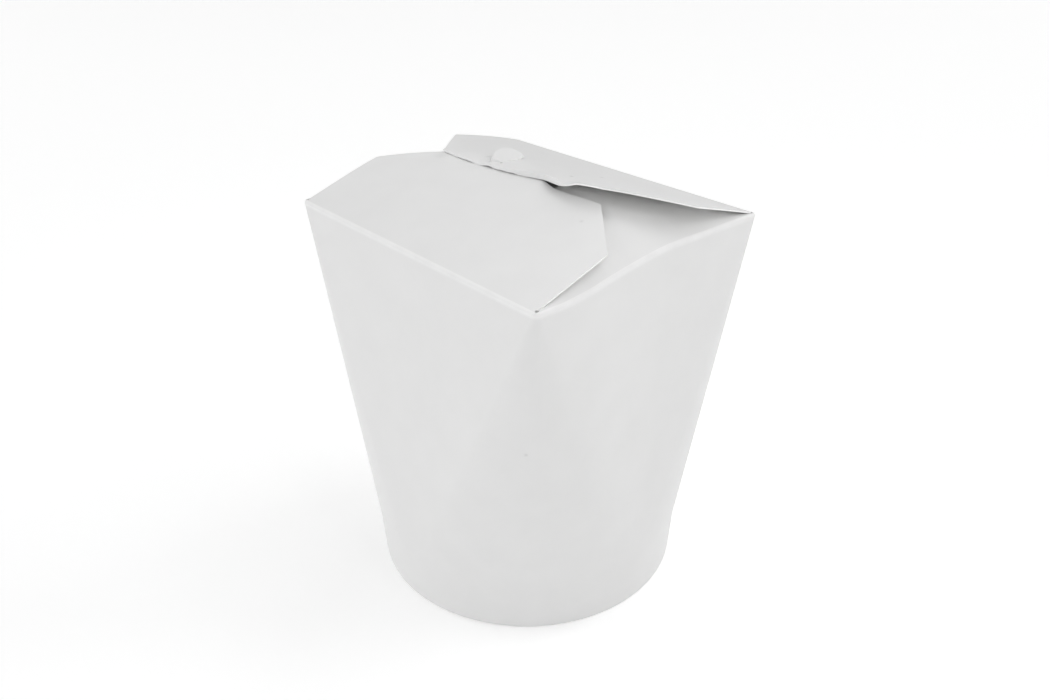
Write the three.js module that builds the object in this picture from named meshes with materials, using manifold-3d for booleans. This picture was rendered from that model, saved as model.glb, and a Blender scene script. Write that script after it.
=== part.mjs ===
// A shut noodle takeaway box. One folded sheet of white paperboard makes the round-footed wall and
// the four flaps of its oblong top, and a separate board disc is set up into the foot.
// Millimetres, +Z up. The origin is the middle of the foot, on the surface that the box stands on.
// The long flaps are hinged on the two sides (-Y and +Y), the short ones on the two ends (+X and -X).

import * as THREE from "three";
import { mergeVertices } from "three/addons/utils/BufferGeometryUtils.js";
import Module from "manifold-3d";

const wasm = await Module();
wasm.setup();

const { degToRad, lerp, smoothstep } = THREE.MathUtils;

// ---------------------------------------------------------------- driving dimensions

const board = 0.5;
const clearance = 0.3;

// Wall: a circle at the foot that turns into a rounded oblong at the rim.
const footRadius = 45;
const skirtRadius = 46;
const skirtHeight = 15;
const rimHeight = 110;
const rimHalfLength = 47.4;
const rimHalfWidth = 40.4;
const rimCornerRadius = 2;
const endRimBow = 1.3;

// Foot: the wall's lower edge is folded in and up round the flange of the disc.
const hemRadius = 41.4;
const hemBoard = 0.9;
const hemHeight = 8;
const footBoard = 1.6;
const footFloor = 0.6;
const discHeight = 11;

// Lower long flap, flat, on the -Y side, with the locking tongue on its free edge.
const lowerFlap = {
  rise: degToRad(14.6),
  sideLength: 26.3,
  sideInset: 2.5,
  chamfer: 14.5,
  tongueCentre: -11.7,
  neckHalfWidth: 2.9,
  headHalfWidth: 4.6,
  neckLength: 2.4,
  headLength: 5.4,
};

// Upper long flap, on the +Y side: it springs up at its free corner, and is held down elsewhere by
// the tongue, with a crushed lip along its edge that rests on the lower flap. heldTo and freeFrom
// are places along that edge, counted from its middle, and negative towards the free corner.
const upperFlap = {
  rise: degToRad(17.4),
  bend: degToRad(4.6),
  sideLength: 26.4,
  sideInset: 0.6,
  chamfer: 15.8,
  reach: 44.8,
  lipWidth: 1.2,
  leastLip: 0.2,
  lipFall: degToRad(40),
  heldTo: -8,
  freeFrom: -20,
};

// Short flaps, folded in first: crowned ramps that rise towards the middle of the box.
const shortFlap = {
  endRise: 4.2,
  crownHalfWidth: 38.4,
  hingeHalfWidth: 36.8,
  sideLength: 25,
  sideInset: 1.5,
  endHalfWidth: 19,
  gap: 6,
  depth: 2,
};
const pocketDepth = 3;

const whiteBoard = { color: "#ececeb", roughness: 0.55, metalness: 0 };
const discBoard = { color: "#e6e5e2", roughness: 0.65, metalness: 0 };

// ---------------------------------------------------------------- solids

// Merges a closed geometry's shared corners and hands it over as a solid.
function solidOf(geometry) {
  geometry.deleteAttribute("normal");
  geometry.deleteAttribute("uv");
  const merged = mergeVertices(geometry);
  const corners = merged.index.array;
  const triangles = [];
  for (let i = 0; i < corners.length; i += 3) {
    const [a, b, c] = corners.slice(i, i + 3);
    if (a !== b && b !== c && c !== a) {
      triangles.push(a, b, c);
    }
  }
  const vertProperties = merged.attributes.position.array;
  const triVerts = new Uint32Array(triangles);
  return new wasm.Manifold(new wasm.Mesh({ numProp: 3, vertProperties, triVerts }));
}

function geometryOf(solid) {
  const mesh = solid.getMesh();
  const geometry = new THREE.BufferGeometry();
  geometry.setAttribute("position", new THREE.BufferAttribute(mesh.vertProperties, 3));
  geometry.setIndex(new THREE.BufferAttribute(mesh.triVerts, 1));
  geometry.computeVertexNormals();
  return geometry;
}

// Moves every corner of a geometry to where place(corner) puts it.
function reshape(geometry, place) {
  const position = geometry.attributes.position;
  const corner = new THREE.Vector3();
  for (let i = 0; i < position.count; i++) {
    corner.fromBufferAttribute(position, i);
    place(corner);
    position.setXYZ(i, corner.x, corner.y, corner.z);
  }
  return geometry;
}

// A ring or plug turned about Z from a closed outline of [radius, height] pairs.
function turned(outline) {
  const points = outline.map(([radius, height]) => new THREE.Vector2(radius, height));
  return new THREE.LatheGeometry(points, ringSteps).rotateX(Math.PI / 2);
}

// ---------------------------------------------------------------- wall

const sideSteps = 8;
const cornerSteps = 8;
const quarterSteps = sideSteps + cornerSteps;
const ringSteps = 4 * quarterSteps;
const flatFootAngle = degToRad(5);

// How far an end's rim is arched up and drawn in, at a distance from its middle.
function rimBow(along) {
  const half = rimHalfWidth - rimCornerRadius;
  return endRimBow * (1 - (along / half) ** 2);
}

// The straight line up the wall at one step of the ring: its angle at the foot, its point on the rim.
function wallLine(step) {
  const quarter = Math.floor(step / quarterSteps) % 4;
  const within = step % quarterSteps;
  const isEnd = quarter % 2 === 0;
  const out = isEnd ? rimHalfLength : rimHalfWidth;
  const half = (isEnd ? rimHalfWidth : rimHalfLength) - rimCornerRadius;
  const rim = new THREE.Vector3();
  let footAngle;
  if (within <= sideSteps) {
    const part = within / sideSteps;
    const along = lerp(-half, half, part);
    const bow = isEnd ? rimBow(along) : 0;
    footAngle = lerp(-flatFootAngle, flatFootAngle, part);
    rim.set(out - bow, along, rimHeight + bow);
  } else {
    const part = (within - sideSteps) / cornerSteps;
    const turn = part * (Math.PI / 2);
    footAngle = lerp(flatFootAngle, Math.PI / 2 - flatFootAngle, part);
    rim.set(
      out - rimCornerRadius + rimCornerRadius * Math.cos(turn),
      half + rimCornerRadius * Math.sin(turn),
      rimHeight,
    );
  }
  const heading = (quarter * Math.PI) / 2;
  rim.applyAxisAngle(new THREE.Vector3(0, 0, 1), heading);
  return { footAngle: footAngle + heading, rim };
}

// The wall and what it encloses, from the foot over the skirt band to the rim.
function wallBody() {
  const geometry = new THREE.CylinderGeometry(1, 1, 2, ringSteps, 2);
  reshape(geometry, (corner) => {
    const level = Math.round(corner.y + 1);
    const isCapCentre = corner.x === 0 && corner.z === 0;
    if (isCapCentre) {
      corner.set(0, 0, level === 0 ? 0 : rimHeight);
      return;
    }
    const turn = Math.atan2(corner.x, corner.z) / (2 * Math.PI);
    const step = (Math.round(turn * ringSteps) + ringSteps) % ringSteps;
    const { footAngle, rim } = wallLine(step);
    const radius = level === 0 ? footRadius : skirtRadius;
    if (level === 2) {
      corner.copy(rim);
    } else {
      corner.set(radius * Math.cos(footAngle), radius * Math.sin(footAngle), level * skirtHeight);
    }
  });
  return solidOf(geometry);
}

// What is taken out of the foot: the room under the disc and the channel for the disc's flange.
function footHollow() {
  const below = -1;
  const channelInner = hemRadius + hemBoard;
  const channelOuter = footRadius - footBoard;
  return solidOf(
    turned([
      [0, below],
      [hemRadius, below],
      [hemRadius, hemHeight],
      [channelInner, hemHeight],
      [channelInner, footFloor],
      [channelOuter, footFloor],
      [channelOuter, discHeight + clearance],
      [0, discHeight + clearance],
    ]),
  );
}

// ---------------------------------------------------------------- flaps

// Each flap is made at its own hinge: X along the hinge, Y inwards over the box, Z up. This puts it
// on the rim of the wall that faces the given quarter turn, counted from +X.
function hinged(geometry, quarter) {
  const out = quarter % 2 === 0 ? rimHalfLength : rimHalfWidth;
  const heading = (quarter * Math.PI) / 2;
  geometry.rotateZ(heading + Math.PI / 2);
  return geometry.translate(out * Math.cos(heading), out * Math.sin(heading), rimHeight);
}

const hingeOverlap = 0.2;

// The lower flap's outline in its own plane, from the hinge round to the tongue.
function lowerOutline() {
  const { sideLength, sideInset, chamfer } = lowerFlap;
  const { tongueCentre, neckHalfWidth, headHalfWidth, neckLength, headLength } = lowerFlap;
  const hingeHalf = rimHalfLength - rimCornerRadius;
  const sideHalf = rimHalfLength - sideInset;
  const endHalf = sideHalf - chamfer;
  const end = sideLength + chamfer;
  const neckEnd = end + neckLength;
  const tip = neckEnd + headLength;
  const outline = new THREE.Shape();
  outline.moveTo(-hingeHalf, hingeOverlap);
  outline.lineTo(hingeHalf, hingeOverlap);
  outline.lineTo(sideHalf, sideLength);
  outline.lineTo(endHalf, end);
  outline.lineTo(tongueCentre + neckHalfWidth, end);
  outline.lineTo(tongueCentre + neckHalfWidth, end + neckLength / 2);
  outline.lineTo(tongueCentre + headHalfWidth, neckEnd + headLength / 2);
  outline.quadraticCurveTo(tongueCentre + headHalfWidth, tip, tongueCentre, tip);
  outline.quadraticCurveTo(tongueCentre - headHalfWidth, tip, tongueCentre - headHalfWidth, neckEnd);
  outline.lineTo(tongueCentre - neckHalfWidth, end + neckLength / 2);
  outline.lineTo(tongueCentre - neckHalfWidth, end);
  outline.lineTo(-endHalf, end);
  outline.lineTo(-sideHalf, sideLength);
  return outline;
}

function lowerFlapSolid() {
  const curveSegments = 6;
  const settings = { depth: board, bevelEnabled: false, curveSegments };
  const geometry = new THREE.ExtrudeGeometry(lowerOutline(), settings);
  geometry.translate(0, 0, -board).rotateX(lowerFlap.rise);
  return solidOf(hinged(geometry, 3));
}

// The room that the tongue takes in the upper flap.
function slitRoom() {
  const { sideLength, chamfer, tongueCentre, headHalfWidth, neckLength, headLength } = lowerFlap;
  const start = sideLength + chamfer - clearance;
  const end = sideLength + chamfer + neckLength + headLength + clearance;
  const width = 2 * (headHalfWidth + clearance);
  const geometry = new THREE.BoxGeometry(width, end - start, board + 2 * clearance);
  geometry.translate(tongueCentre, (start + end) / 2, -board / 2).rotateX(lowerFlap.rise);
  return solidOf(hinged(geometry, 3));
}

// The least curvature, per millimetre, that a bent section is worked out with.
const nearlyStraight = 1e-5;

// A point in the section of the upper flap, and the direction in which the board runs there.
function upperSection(along, distance) {
  const { rise, bend, reach, lipWidth, leastLip, lipFall, heldTo, freeFrom } = upperFlap;
  const held = smoothstep(along, freeFrom, heldTo);
  const lip = Math.max(lipWidth * held, leastLip);
  const crease = reach - lip;
  const curvature = Math.max((bend * held) / crease, nearlyStraight);
  const run = Math.min(distance, crease);
  const slope = rise - curvature * run;
  const inward = (Math.sin(rise) - Math.sin(slope)) / curvature;
  const height = (Math.cos(slope) - Math.cos(rise)) / curvature;
  const lipSlope = lerp(slope, -lipFall, held);
  const past = distance - run;
  return {
    inward: inward + past * Math.cos(lipSlope),
    height: height + past * Math.sin(lipSlope),
    slope: distance < crease ? slope : lerp(slope, lipSlope, 0.5 + past / (2 * lip)),
    crease,
  };
}

// The distance from the hinge of each row across the upper flap.
const upperSideRows = 4;
const upperTaperRows = 5;
const upperRows = upperSideRows + upperTaperRows + 1;

function upperDistance(row, crease) {
  const { sideLength, reach } = upperFlap;
  if (row <= upperSideRows) {
    return lerp(hingeOverlap, sideLength, row / upperSideRows);
  }
  if (row < upperRows) {
    return lerp(sideLength, crease, (row - upperSideRows) / upperTaperRows);
  }
  return reach;
}

function upperHalfWidth(distance) {
  const { sideLength, sideInset, chamfer, reach } = upperFlap;
  if (distance <= sideLength) {
    const hingeHalf = rimHalfLength - rimCornerRadius;
    return lerp(hingeHalf, rimHalfLength - sideInset, distance / sideLength);
  }
  return rimHalfLength - sideInset - (chamfer * (distance - sideLength)) / (reach - sideLength);
}

function upperFlapSolid() {
  const columns = 24;
  const geometry = new THREE.BoxGeometry(2, 2, 2, columns, upperRows, 1);
  const endHalf = upperHalfWidth(upperFlap.reach);
  reshape(geometry, (corner) => {
    const row = Math.round(((corner.y + 1) / 2) * upperRows);
    const { crease } = upperSection(corner.x * endHalf, 0);
    const distance = upperDistance(row, crease);
    const along = corner.x * upperHalfWidth(distance);
    const { inward, height, slope } = upperSection(corner.x * endHalf, distance);
    const below = (board * (1 - corner.z)) / 2;
    corner.set(along, inward + below * Math.sin(slope), height - below * Math.cos(slope));
  });
  return solidOf(hinged(geometry, 1));
}

// A short flap, made solid down into the body, because nothing under it can be seen.
function shortFlapSolid(quarter) {
  const { endRise, crownHalfWidth, hingeHalfWidth, sideLength, sideInset } = shortFlap;
  const { endHalfWidth, gap, depth } = shortFlap;
  const columns = 8;
  const sideRows = 3;
  const rows = 2 * sideRows;
  const length = rimHalfLength - gap / 2;
  const geometry = new THREE.BoxGeometry(2, 2, 2, columns, rows, 1);
  reshape(geometry, (corner) => {
    const row = Math.round(((corner.y + 1) / 2) * rows);
    const onSide = row <= sideRows;
    const part = onSide ? row / sideRows : (row - sideRows) / sideRows;
    const distance = onSide ? sideLength * part : lerp(sideLength, length, part);
    const sideHalf = hingeHalfWidth - sideInset;
    const half = onSide ? lerp(hingeHalfWidth, sideHalf, part) : lerp(sideHalf, endHalfWidth, part);
    const along = corner.x * half;
    const crown = lerp(endRimBow, endRise, distance / length) * (1 - (along / crownHalfWidth) ** 2);
    const start = rimBow(along) + 2 * hingeOverlap;
    corner.set(along, lerp(start, length, distance / length), corner.z > 0 ? crown : -depth);
  });
  return solidOf(hinged(geometry, quarter));
}

// The gap between the free edges of the two short flaps, which goes down into the box.
function pocket() {
  const { gap, endHalfWidth, endRise } = shortFlap;
  const width = gap - 2 * clearance;
  const tall = pocketDepth + endRise;
  const geometry = new THREE.BoxGeometry(width, 2 * endHalfWidth, tall);
  return solidOf(geometry.translate(0, 0, rimHeight - pocketDepth + tall / 2));
}

// ---------------------------------------------------------------- pieces

function cartonGeometry() {
  const body = wallBody().subtract(footHollow()).subtract(pocket());
  const upper = upperFlapSolid().subtract(slitRoom());
  const carton = body
    .add(shortFlapSolid(0))
    .add(shortFlapSolid(2))
    .add(lowerFlapSolid())
    .add(upper);
  return geometryOf(carton);
}

// The disc in the foot: a shallow cup of board, upside down, whose flange stands in the channel.
function discGeometry() {
  const flangeOuter = footRadius - footBoard - clearance;
  const flangeInner = flangeOuter - board;
  const flangeFoot = footFloor + clearance;
  const disc = turned([
    [0, discHeight - board],
    [flangeInner, discHeight - board],
    [flangeInner, flangeFoot],
    [flangeOuter, flangeFoot],
    [flangeOuter, discHeight],
    [0, discHeight],
  ]);
  return geometryOf(solidOf(disc));
}

function piece(name, geometry, finish) {
  const mesh = new THREE.Mesh(geometry, new THREE.MeshStandardMaterial(finish));
  mesh.name = name;
  return mesh;
}

const noodleBox = new THREE.Group();
noodleBox.add(piece("carton", cartonGeometry(), whiteBoard));
noodleBox.add(piece("base_disc", discGeometry(), discBoard));

export default noodleBox;
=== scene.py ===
"""A shut noodle takeaway box, folded from one sheet of white paperboard round a base disc.

Sizes in the classes are millimetres, in the part's own frame: +Z up, with the origin in the middle
of the foot, on the surface that the box stands on. The long flaps are hinged on the front (-Y) and
the back (+Y) of the rim, and the short flaps on its right (+X) and left (-X) ends. A finished mesh
is scaled to metres as it becomes an object.
"""

import logging
import math
from collections.abc import Callable, Sequence
from dataclasses import dataclass
from enum import Enum

import bmesh
import bpy
from bmesh.types import BMesh, BMVert
from mathutils import Matrix, Vector

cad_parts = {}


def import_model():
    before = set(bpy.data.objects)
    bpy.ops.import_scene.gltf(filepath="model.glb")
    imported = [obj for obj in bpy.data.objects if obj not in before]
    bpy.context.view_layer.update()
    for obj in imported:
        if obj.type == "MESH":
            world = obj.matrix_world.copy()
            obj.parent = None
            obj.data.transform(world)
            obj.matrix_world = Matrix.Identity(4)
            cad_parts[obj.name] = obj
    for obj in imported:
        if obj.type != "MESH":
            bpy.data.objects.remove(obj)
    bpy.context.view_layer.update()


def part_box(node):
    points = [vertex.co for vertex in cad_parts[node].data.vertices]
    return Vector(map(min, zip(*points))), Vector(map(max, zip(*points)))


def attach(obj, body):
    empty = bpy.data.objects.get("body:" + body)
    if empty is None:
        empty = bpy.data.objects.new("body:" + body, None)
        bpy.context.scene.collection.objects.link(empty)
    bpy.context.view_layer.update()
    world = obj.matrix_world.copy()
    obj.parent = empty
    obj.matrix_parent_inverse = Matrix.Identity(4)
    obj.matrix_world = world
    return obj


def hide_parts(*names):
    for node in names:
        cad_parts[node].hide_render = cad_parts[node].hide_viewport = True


log = logging.getLogger("noodle_box")

MILLIMETRE = 0.001
BODY = "root"
SHARP_ANGLE = math.radians(32.0)
# The fold lines are made paler by the coated finish: a painted highlight along them, and wear.
FOLD_HIGHLIGHT_AND_WEAR = "fold_highlight_and_wear_mask"  # the vertex attribute that marks the fold lines
LIGHT_DEPTH = 1.2  # how far light goes into the board
NOISE_RANGE = (0.3, 0.7)  # where nearly all the values of a noise pattern lie
BEND_STEPS = 12  # the steps in which a bending board is followed
RELIEF_RADIUS = 0.42  # the round cut at both ends of a flap's fold line
LONGEST_OFFSET = 1.5  # the furthest an inner face may be from the outer one, in board thicknesses


# ---------------------------------------------------------------------------------------- shaping


def lerp(start: float, end: float, share: float) -> float:
    """Return the value that lies share of the way from start to end."""
    return start + (end - start) * share


def steps_to(start: float, end: float, count: int) -> list[float]:
    """List count even steps from start to end, without start itself."""
    return [lerp(start, end, step / count) for step in range(1, count + 1)]


def quarter_turn(count: int) -> list[float]:
    """List the angles of a quarter turn in count even steps, with both ends."""
    return [math.pi / 2 * step / count for step in range(count + 1)]


def smooth_step(start: float, end: float, value: float) -> float:
    """Return 0 before start and 1 after end, with a smooth rise between them.

    Args:
        start: The value at which the rise begins. It may be larger than end.
        end: The value at which the rise is over.
        value: The value to look up.

    Returns:
        A number from 0 to 1.
    """
    share = min(max((value - start) / (end - start), 0.0), 1.0)
    return share * share * (3.0 - 2.0 * share)


def hump(centre: float, half_width: float, value: float) -> float:
    """Return 1 at centre, falling smoothly to 0 at half_width on either side of it."""
    away = min(abs(value - centre) / half_width, 1.0)
    return 0.5 + 0.5 * math.cos(math.pi * away)


def polyline(points: Sequence[tuple[float, float]], value: float) -> float:
    """Look a value up on straight lines between points.

    Args:
        points: Pairs of (value, result), in rising order of value.
        value: The value to look up. Outside the points the first or last result holds.

    Returns:
        The result at that value.
    """
    if value <= points[0][0]:
        return points[0][1]
    for (x0, y0), (x1, y1) in zip(points, points[1:]):
        if value <= x1:
            return lerp(y0, y1, (value - x0) / (x1 - x0))
    return points[-1][1]


def smooth_line(points: Sequence[tuple[float, float]], value: float) -> float:
    """Look a value up on a smooth curve through points.

    Args:
        points: Pairs of (value, result), in rising order of value.
        value: The value to look up. Outside the points the first or last result holds.

    Returns:
        The result at that value.
    """
    value = min(max(value, points[0][0]), points[-1][0])
    number = next(n for n in range(1, len(points)) if value <= points[n][0])
    (x0, y0), (x1, y1) = points[number - 1], points[number]
    xa, ya = points[max(number - 2, 0)]
    xb, yb = points[min(number + 1, len(points) - 1)]
    width = x1 - x0
    leave = (y1 - ya) / (x1 - xa) * width
    arrive = (yb - y0) / (xb - x0) * width
    share = (value - x0) / width
    turned = (3.0 - 2.0 * share) * share * share
    bulge = share * (1.0 - share)
    return lerp(y0, y1, turned) + bulge * (leave * (1.0 - share) - arrive * share)


def follow(slope_at: Callable[[float], float], distance: float) -> tuple[float, float]:
    """Follow a board whose slope changes on the way.

    Args:
        slope_at: Gives the slope, in radians, at a distance along the board.
        distance: The distance that is followed.

    Returns:
        How far in and how far up the board has run.
    """
    inward = 0.0
    above = 0.0
    step = distance / BEND_STEPS
    for number in range(BEND_STEPS):
        slope = slope_at((number + 0.5) * step)
        inward += step * math.cos(slope)
        above += step * math.sin(slope)
    return inward, above


def extrude_row(mesh: BMesh, row: Sequence[BMVert], closed: bool = False) -> list[BMVert]:
    """Extrude a chain of edges into a strip of faces.

    Args:
        mesh: The mesh that holds the chain.
        row: The chain's vertices, in order.
        closed: Whether the last vertex is joined to the first.

    Returns:
        The new chain's vertices, in the same order and still in the old chain's places.
    """
    following = list(row[1:]) + ([row[0]] if closed else [])
    edges = [mesh.edges.get(pair) for pair in zip(row, following)]
    made = bmesh.ops.extrude_edge_only(mesh, edges=edges)["geom"]
    fresh = {element for element in made if isinstance(element, BMVert)}
    return [next(e.other_vert(v) for e in v.link_edges if e.other_vert(v) in fresh) for v in row]


def grow_rows(
    mesh: BMesh,
    row: Sequence[BMVert],
    levels: Sequence[float],
    place: Callable[[int, float], Vector],
    closed: bool = False,
) -> list[list[BMVert]]:
    """Extrude a chain of edges once for each level and put its vertices in place.

    Args:
        mesh: The mesh that holds the chain.
        row: The chain's vertices, in order.
        levels: One value for each new row.
        place: Gives a vertex's place from its number in the row and the row's level.
        closed: Whether the chain is a ring.

    Returns:
        The new rows of vertices, the first one next to the old row.
    """
    rows = []
    for level in levels:
        row = extrude_row(mesh, row, closed)
        for number, vert in enumerate(row):
            vert.co = place(number, level)
        rows.append(row)
    return rows


# -------------------------------------------------------------------------------------- finishes


class Grain(Enum):
    """The direction in which a board's fibres lie, as stretches of the noise along X, Y and Z."""

    UPRIGHT = (1.0, 1.0, 0.25)
    EVEN = (1.0, 1.0, 1.0)


@dataclass(frozen=True)
class BlemishOrShade:
    """A small dark spot on the board, at a place in millimetres: a mark in its surface, or a patch
    of painted shade.

    Attributes:
        place: The middle of the mark.
        radius: How far it reaches.
        shade: How much darker its middle is, from 0 to 1.
        depth: How deep it is pressed, as a share of the bump's height.
    """

    place: tuple[float, float, float]
    radius: float
    shade: float
    depth: float


@dataclass(frozen=True)
class BoardNodes:
    """The nodes of one board's material.

    Attributes:
        tree: The material's node tree.
        place: The coordinates that the patterns and the marks read.
    """

    tree: bpy.types.NodeTree
    place: bpy.types.NodeSocket

    def add(
        self, kind: str, inputs: dict[str | int, object], operation: str = ""
    ) -> bpy.types.Node:
        """Add a node and fill its inputs.

        Args:
            kind: The node's type, without "ShaderNode".
            inputs: For each input, the socket that it is linked to or its value.
            operation: The operation of a mathematical node.

        Returns:
            The new node.
        """
        node = self.tree.nodes.new("ShaderNode" + kind)
        if operation:
            node.operation = operation
        for name, source in inputs.items():
            if isinstance(source, bpy.types.NodeSocket):
                self.tree.links.new(source, node.inputs[name])
            else:
                node.inputs[name].default_value = source
        return node

    def noise(self, size: float, detail: float, grain: Grain) -> bpy.types.NodeSocket:
        """Add a noise pattern.

        Args:
            size: The size of its features, in millimetres.
            detail: How many finer layers it has.
            grain: The direction in which it is drawn out.

        Returns:
            The pattern's value, nearly always in NOISE_RANGE.
        """
        place = self.place
        if grain is not Grain.EVEN:
            stretch = {"Vector": place, "Scale": grain.value}
            place = self.add("Mapping", stretch).outputs["Vector"]
        inputs = {"Vector": place, "Scale": 1.0 / (size * MILLIMETRE), "Detail": detail}
        return self.add("TexNoise", inputs).outputs["Fac"]

    def remap(self, value: bpy.types.NodeSocket, low: float, high: float) -> bpy.types.NodeSocket:
        """Stretch a noise pattern's value to run from low to high.

        Args:
            value: The pattern's value.
            low: The result where the pattern is lowest.
            high: The result where it is highest.

        Returns:
            The stretched value.
        """
        inputs = {"Value": value, "To Min": low, "To Max": high}
        inputs |= dict(zip(("From Min", "From Max"), NOISE_RANGE))
        return self.add("MapRange", inputs).outputs["Result"]

    def mark(self, blemish_or_shade: BlemishOrShade) -> bpy.types.NodeSocket:
        """Add the round mask of one mark or patch of painted shade.

        Args:
            blemish_or_shade: The mark or the patch of painted shade.

        Returns:
            1 in the mark's middle, falling to 0 at its radius.
        """
        ends = {0: self.place, 1: Vector(blemish_or_shade.place) * MILLIMETRE}
        away = self.add("VectorMath", ends, "DISTANCE").outputs["Value"]
        radius = blemish_or_shade.radius * MILLIMETRE
        inputs = {"Value": away, "From Max": radius, "To Min": 1.0, "To Max": 0.0}
        fall = self.add("MapRange", inputs)
        fall.interpolation_type = "SMOOTHSTEP"
        return fall.outputs["Result"]

    def less(
        self, value: bpy.types.NodeSocket, mark: bpy.types.NodeSocket, share: float
    ) -> bpy.types.NodeSocket:
        """Take a share of a mark's mask off a value.

        Args:
            value: The value.
            mark: The mark's mask.
            share: How much of the mask is taken off.

        Returns:
            The lessened value.
        """
        inputs = {0: mark, 1: -share, 2: value}
        return self.add("Math", inputs, "MULTIPLY_ADD").outputs["Value"]


@dataclass(frozen=True)
class BoardFinish:
    """A white paperboard surface, with its cloudiness and its fibres.

    Attributes:
        name: The material's name.
        colour: The base colour, linear RGB.
        roughness: The surface's roughness.
        roughness_spread: How far the roughness strays from that.
        sheen_level: The specular level.
        cloud: How much the colour varies from place to place.
        cloud_size: The size of these clouds, in millimetres.
        fibre_height: How high the fibres stand, in millimetres.
        fibre_size: Their spacing, in millimetres.
        grain: The direction in which they lie.
        glow_through: How much of the light goes into the board and comes out elsewhere.
        highlight_and_wear: How much paler the fold lines are, as a painted highlight along them and
            as wear.
        highlight_and_wear_least: The share of that paling which the least pale patches have.
        highlight_and_wear_size: The size of the patches of that paling, in millimetres.
        blemishes_and_shade: Marks in the surface, and patches of painted shade.
    """

    name: str
    colour: tuple[float, float, float]
    roughness: float
    sheen_level: float
    cloud: float
    cloud_size: float
    fibre_height: float
    fibre_size: float
    grain: Grain = Grain.EVEN
    glow_through: float = 0.0
    roughness_spread: float = 0.04
    highlight_and_wear: float = 0.0
    highlight_and_wear_least: float = 0.55
    highlight_and_wear_size: float = 5.0
    blemishes_and_shade: tuple[BlemishOrShade, ...] = ()

    def material(self) -> bpy.types.Material:
        """Make the material.

        Returns:
            A node material that reads Object coordinates.
        """
        material = bpy.data.materials.new(self.name)
        material.use_nodes = True
        tree = material.node_tree
        shader = tree.nodes["Principled BSDF"]
        shader.inputs["Specular IOR Level"].default_value = self.sheen_level
        shader.inputs["Subsurface Weight"].default_value = self.glow_through
        shader.inputs["Subsurface Radius"].default_value = (1.0, 1.0, 1.0)
        shader.inputs["Subsurface Scale"].default_value = LIGHT_DEPTH * MILLIMETRE
        nodes = BoardNodes(tree, tree.nodes.new("ShaderNodeTexCoord").outputs["Object"])

        clouds = nodes.noise(self.cloud_size, 3.0, Grain.EVEN)
        shade = nodes.remap(clouds, 1.0 - self.cloud, 1.0)
        low, high = self.roughness - self.roughness_spread, self.roughness + self.roughness_spread
        tree.links.new(nodes.remap(clouds, low, high), shader.inputs["Roughness"])

        relief = nodes.noise(self.fibre_size, 4.0, self.grain)
        # darken the colour and press the bump at each mark and each patch of painted shade
        for blemish_or_shade in self.blemishes_and_shade:
            mark = nodes.mark(blemish_or_shade)
            shade = nodes.less(shade, mark, blemish_or_shade.shade)
            relief = nodes.less(relief, mark, blemish_or_shade.depth)

        # Pale the rounded fold lines in patches: a painted highlight along them, and wear.
        if self.highlight_and_wear:
            folds = nodes.add("Attribute", {})
            folds.attribute_name = FOLD_HIGHLIGHT_AND_WEAR
            patches = nodes.noise(self.highlight_and_wear_size, 2.0, Grain.EVEN)
            inputs = {0: folds.outputs["Fac"], 1: nodes.remap(patches, self.highlight_and_wear_least, 1.0)}
            highlight_and_wear_mask = nodes.add("Math", inputs, "MULTIPLY").outputs["Value"]
            shade = nodes.less(shade, highlight_and_wear_mask, -self.highlight_and_wear)

        tint = nodes.add("VectorMath", {0: self.colour, "Scale": shade}, "SCALE")
        tree.links.new(tint.outputs["Vector"], shader.inputs["Base Color"])
        bump = nodes.add("Bump", {"Distance": self.fibre_height * MILLIMETRE, "Height": relief})
        tree.links.new(bump.outputs["Normal"], shader.inputs["Normal"])
        return material


COATED_FACE = BoardFinish(
    name="coated_white_board",
    colour=(0.8, 0.8, 0.798),
    roughness=0.5,
    sheen_level=0.35,
    cloud=0.02,
    cloud_size=9.0,
    fibre_height=0.012,
    fibre_size=0.6,
    grain=Grain.UPRIGHT,
    glow_through=0.08,
    # paler fold lines: painted highlight and wear
    highlight_and_wear=0.11,
    blemishes_and_shade=(
        BlemishOrShade(place=(-13.4, -0.6, 120.0), radius=0.9, shade=0.16, depth=3.0),
        # painted shadow at the left end of the tongue's slit, over a shallow dent
        BlemishOrShade(place=(-17.6, 2.9, 119.6), radius=1.7, shade=0.12, depth=2.0),
        BlemishOrShade(place=(13.1, 4.8, 121.4), radius=0.9, shade=0.2, depth=3.0),
        BlemishOrShade(place=(14.8, 14.5, 119.1), radius=1.0, shade=0.16, depth=2.0),
        BlemishOrShade(place=(30.1, -8.8, 117.6), radius=0.9, shade=0.1, depth=2.0),
        BlemishOrShade(place=(40.0, -37.1, 66.6), radius=0.8, shade=0.12, depth=1.0),
        # painted shadow of the upper flap's left corner, on the lower flap
        BlemishOrShade(place=(-29.5, -4.8, 119.0), radius=3.2, shade=0.07, depth=0.5),
    ),
)
INNER_FACE = BoardFinish(
    name="uncoated_inner_board",
    colour=(0.88, 0.877, 0.868),
    roughness=0.85,
    sheen_level=0.2,
    cloud=0.05,
    cloud_size=4.0,
    fibre_height=0.03,
    fibre_size=0.5,
    glow_through=0.08,
)
# The raw fibre of the cut edges, made much paler than the faces as a painted highlight along them.
CUT_EDGE_WITH_HIGHLIGHT = BoardFinish(
    name="cut_board_edge_with_painted_highlight",
    colour=(0.98, 0.98, 0.975),
    roughness=0.8,
    sheen_level=0.2,
    cloud=0.06,
    cloud_size=0.8,
    fibre_height=0.03,
    fibre_size=0.2,
)
DISC_FACE = BoardFinish(
    name="base_disc_board",
    colour=(0.68, 0.675, 0.66),
    roughness=0.75,
    sheen_level=0.25,
    cloud=0.04,
    cloud_size=6.0,
    fibre_height=0.03,
    fibre_size=0.5,
)


# ----------------------------------------------------------------------------------- from the rim


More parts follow.
